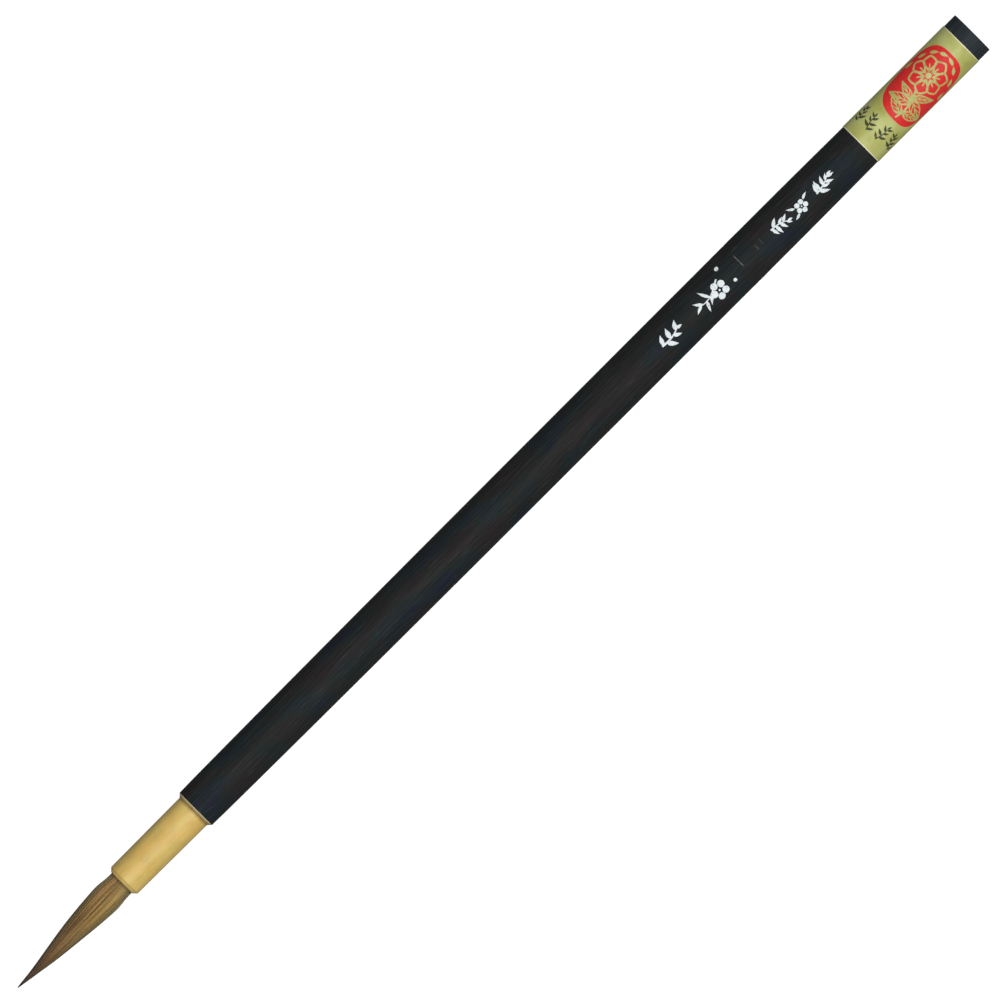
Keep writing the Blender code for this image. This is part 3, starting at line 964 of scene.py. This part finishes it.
def lock_tone(angle, reach):
    """Tone of the locks the hair lies in: faint wide ones, a few pale ones, dark partings."""
    wide = 0.16 * ripple(angle, reach, 2.6, 16.0, 34.6)
    fine = 0.30 * ripple(angle, reach, 7.5, 16.0, 51.9)
    slit = ripple(angle, reach, 6.0, 9.0, 69.2)
    below = smoothstep(0.5, 0.0, math.cos(angle))
    dark = 0.60 * smoothstep(0.27, 0.42, slit) * (0.35 + 0.65 * below)
    light = 0.34 * smoothstep(0.26, 0.40, -slit) * (0.35 + 0.65 * below)
    placed = 0.0
    turn = (math.degrees(angle) + 180) % 360 - 180
    for middle, half, first, last, change in LOCKS:
        if abs(turn - middle) < 2 * half and first < reach < last:
            ends = min(reach - first, last - reach) / 2.5
            placed += change * math.exp(-((turn - middle) / half) ** 2 * 2) * min(ends, 1.0)
    # the sides of the tuft are painted darker, a painted shade
    return 0.50 + wide + fine - dark + light + placed - 0.10 * side_shade_of(angle)


def tuft_place(reach, angle, distance):
    """World place of a point in the tuft, whose lower third leans a little towards -Y."""
    x, y, z = to_world(reach, angle, distance)
    lean = TUFT_LEAN * (smoothstep(14.0, 6.0, reach) - 0.5 * smoothstep(3.5, 0.0, reach))
    return x, y - lean * MM, z


class Strands:
    """The hairs of the tuft, each with its own place, depth, end and thickness."""

    COUNT = 1250
    GOLDEN_ANGLE = 2.399963
    THICKNESS = 0.098
    SIDES = 4

    def __init__(self, seed=7):
        rng = np.random.RandomState(seed)
        count = self.COUNT
        turns = np.arange(count) * self.GOLDEN_ANGLE
        self.angle = (turns + rng.uniform(-0.02, 0.02, count)) % math.tau
        self.depth = rng.beta(1.1, 2.2, count) * 0.13
        share = rng.uniform(0, 1, count)
        # as many hairs end at each reach as the tuft thins there, but a few end early
        reaches = np.linspace(0.0, BELLY_REACH, 400)
        self.end = np.interp(share, tuft_radius(reaches) / tuft_radius(BELLY_REACH), reaches)
        early = share > 0.86
        self.end[early] = np.interp(share[early], (0.86, 1.0), (2.0, 12.0))
        self.taper = rng.uniform(2.5, 6.0, count)
        self.thickness = self.THICKNESS * rng.uniform(0.75, 1.25, count)
        self.wander = rng.uniform(-1, 1, count)
        self.phase = rng.uniform(0, math.tau, count)
        self.tone = rng.normal(0, 0.08, count)

    def line(self, index, reaches):
        """Angle, distance from the axis and half thickness of a strand at some reaches."""
        outer = tuft_radius(reaches)
        left = reaches - self.end[index]
        thin = np.clip(left / self.taper[index], 0.0, 1.0) ** 0.7
        half = self.thickness[index] / 2 * thin * np.clip(outer / 0.5, 0.25, 1.0) ** 0.5
        wander = 0.020 * self.wander[index] * np.sin(reaches * 0.35 + self.phase[index])
        angle = self.angle[index] + wander + TUFT_TWIST * (TWIST_CENTRE - reaches) / SOCKET_MOUTH
        relief = 0.035 * ripple(self.angle[index], 0.0, 8, 1.0, 3)
        distance = outer * (1 - self.depth[index]) - half + relief * np.clip(outer / 1.5, 0, 1)
        return angle, np.maximum(distance, 0.0), half

    def add_to(self, mesh, near, far, spacing=0.75):
        """Adds every strand's stretch between two reaches."""
        steps = max(2, round((near - far) / spacing))
        stations = np.linspace(near, far, steps + 1)
        # a ring just inside each end keeps the flat ends out of the smooth shading
        stations = np.concatenate([[near, near - END_RING], stations[1:-1], [far + END_RING, far]])
        for index in range(self.COUNT):
            end = self.end[index]
            if end > near - 0.4:
                continue
            pointed = end > far
            stops = stations[stations > end + 0.25]
            if pointed:
                stops = np.append(stops, end)
            angle, distance, half = self.line(index, stops)
            self.tube(mesh, index, stops, angle, distance, half, pointed)

    def tube(self, mesh, index, reaches, angle, distance, half, pointed):
        base = len(mesh.corners)
        sides = self.SIDES
        rings = len(reaches) - (1 if pointed else 0)
        for ring in range(rings):
            centre = np.array(tuft_place(reaches[ring], angle[ring], distance[ring]))
            outward = np.array((0.0, -math.sin(angle[ring]), math.cos(angle[ring])))
            aside = np.array((0.0, -math.cos(angle[ring]), -math.sin(angle[ring])))
            for side in range(sides):
                turn = math.tau * (side + 0.5) / sides
                offset = (outward * math.cos(turn) + aside * math.sin(turn)) * half[ring] * MM
                mesh.corners.append(tuple(centre + offset))
        for ring in range(rings - 1):
            for side in range(sides):
                a, b = base + ring * sides + side, base + ring * sides + (side + 1) % sides
                mesh.faces.append((a, a + sides, b + sides, b))
        mesh.cap(range(base, base + sides))
        last = base + (rings - 1) * sides
        if pointed:
            tip = len(mesh.corners)
            mesh.corners.append(tuft_place(reaches[-1], angle[-1], distance[-1]))
            for side in range(sides):
                mesh.faces.append((last + side, tip, last + (side + 1) % sides))
        else:
            mesh.cap(reversed(range(last, last + sides)))
        for ring, reach in enumerate(reaches):
            count = 1 if ring >= rings else sides
            tone = lock_tone(self.angle[index], reach) + self.tone[index]
            mesh.colour(tone, self.angle[index], reach, count)


def add_core(mesh, near, far, facets=120):
    """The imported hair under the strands: a closed body with fine lengthwise grooves."""
    stations = reach_steps(far, near, 0.7)
    stations = [far, far + END_RING, *stations[1:-1], near - END_RING, near]
    for reach in stations:
        twist = TUFT_TWIST * (TWIST_CENTRE - reach) / SOCKET_MOUTH
        for step in range(facets):
            angle = math.tau * step / facets
            groove = 0.02 * ripple(angle, reach, 14, 20.0, 0)
            radius = float(tuft_radius(reach)) * (CORE_SHARE + groove)
            mesh.corners.append(tuft_place(reach, angle + twist, max(radius, 0.004)))
            # the tone drops down in the grooves: a painted shade in them
            mesh.colour(0.3 + lock_tone(angle, reach) * 0.4 + 8 * groove, angle, reach)
    for line in range(len(stations) - 1):
        for step in range(facets):
            a, b = line * facets + step, line * facets + (step + 1) % facets
            mesh.faces.append((a, b, b + facets, a + facets))
    mesh.cap(reversed(range(facets)))
    top = (len(stations) - 1) * facets
    mesh.cap(range(top, top + facets))


def make_tuft(strand_material, core_material):
    """Each stretch is cut where the tuft stays straight, halfway between two bends."""
    strands = Strands()
    for name, near, far, parent, child, blend_start, cover_nodes, core_nodes in STRETCHES:
        cover = TuftMesh()
        strands.add_to(cover, near, far)
        cover_piece = cover.finish("tuft_hairs_" + name, strand_material)
        core = TuftMesh()
        core_near = TUFT_ROOT if name == "belly" else near
        add_core(core, core_near, max(far, CORE_END))
        core_piece = core.finish("tuft_core_" + name, core_material)
        for piece, nodes, slot in (
            (cover_piece, cover_nodes, "cover_hair"),
            (core_piece, core_nodes, "core_hair"),
        ):
            if nodes:
                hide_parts(*nodes)
            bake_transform(piece)


# ---------------------------------------------------------------- stage

FLOOR_SIZE = 30.0
FLOOR_GLOW = 0.96
FLOOR_SHADE = 0.17
FLOOR_BOUNCE = 0.28
SUN_STRENGTH = 2.9
SUN_SPREAD = 55
SUN_TILT = 10
AMBIENT = 0.12
BACKDROP = 1.0
CAMERA_LENS = 1500
CAMERA_SENSOR = 36
FRAME_WIDTH = 158.96
CAMERA_SHIFT = (1.84, 0.53)
CAMERA_ROLL = -45


def make_floor():
    """A pale floor, bright to the camera and dim to the light it throws back, so that the sides
    of the brush stay dark."""
    shader = Shader("pale_floor", 1.0)
    shader.tree.nodes.remove(shader.surface)

    def matt(level):
        made = shader.node("ShaderNodeBsdfDiffuse")
        shader.feed(made.inputs["Color"], grey(level))
        return made.outputs["BSDF"]

    glow = shader.node("ShaderNodeEmission")
    shader.feed(glow.inputs["Strength"], FLOOR_GLOW)
    seen = shader.node("ShaderNodeAddShader")
    shader.feed(seen.inputs[0], glow.outputs["Emission"])
    shader.feed(seen.inputs[1], matt(FLOOR_SHADE))
    path = shader.node("ShaderNodeLightPath")
    choice = shader.node("ShaderNodeMixShader")
    shader.feed(choice.inputs[0], path.outputs["Is Camera Ray"])
    shader.feed(choice.inputs[1], matt(FLOOR_BOUNCE))
    shader.feed(choice.inputs[2], seen.outputs["Shader"])
    shader.feed(shader.tree.nodes["Material Output"].inputs["Surface"], choice.outputs["Shader"])
    half = FLOOR_SIZE / 2
    corners = [(-half, -half, 0), (half, -half, 0), (half, half, 0), (-half, half, 0)]
    add_mesh("floor", corners, [(0, 1, 2, 3)], shader.material)


def make_lights():
    sun = bpy.data.lights.new("soft_light", "SUN")
    sun.energy = SUN_STRENGTH
    sun.angle = math.radians(SUN_SPREAD)
    lamp = bpy.data.objects.new("soft_light", sun)
    lamp.rotation_euler = (math.radians(SUN_TILT), 0, 0)
    bpy.context.scene.collection.objects.link(lamp)

    world = bpy.data.worlds.new("studio")
    bpy.context.scene.world = world
    world.use_nodes = True
    tree = world.node_tree
    background = tree.nodes["Background"]
    background.inputs["Color"].default_value = grey(1.0)
    path = tree.nodes.new("ShaderNodeLightPath")
    strength = tree.nodes.new("ShaderNodeMapRange")
    strength.inputs["To Min"].default_value = AMBIENT
    strength.inputs["To Max"].default_value = BACKDROP
    tree.links.new(path.outputs["Is Camera Ray"], strength.inputs["Value"])
    tree.links.new(strength.outputs["Result"], background.inputs["Strength"])


def make_camera():
    """Straight above the brush, turned so that its butt is at the upper right."""
    data = bpy.data.cameras.new("camera")
    data.lens = CAMERA_LENS
    data.sensor_width = CAMERA_SENSOR
    data.clip_end = 50
    camera = bpy.data.objects.new("camera", data)
    distance = FRAME_WIDTH * CAMERA_LENS / CAMERA_SENSOR
    camera.location = (CAMERA_SHIFT[0] * MM, CAMERA_SHIFT[1] * MM, (AXIS_HEIGHT + distance) * MM)
    camera.rotation_euler = (0, 0, math.radians(CAMERA_ROLL))
    bpy.context.scene.collection.objects.link(camera)
    bpy.context.scene.camera = camera


def paint_hidden_nodes():
    """The CAD pieces inside the socket keep their shape and get their own materials."""
    for node, material in (("root_thread", hemp()), ("root_resin", rosin())):
        frame["nodes"][node].material_slots[0].material = material


black = dyed_bamboo()
golden = socket_bamboo()
bare_end = shaft_end_bamboo()
foil = foil_paper()
make_shaft(black, bare_end)
make_butt_plug(black)
make_socket(golden)
make_label(foil)
make_shaft_paintings(printing_ink("white_paint", (226, 234, 236), (170, 182, 188)))
make_label_printing(
    printing_ink("red_ink", (216, 38, 40), (200, 60, 52)),
    printing_ink("dark_ink", (62, 66, 42), (96, 98, 62)),
    foil,
)
make_tuft(hair("hair_strands"), hair("hair_core", dark_core=True))
paint_hidden_nodes()
make_floor()
make_lights()
make_camera()
bpy.context.scene.view_settings.view_transform = "Standard"
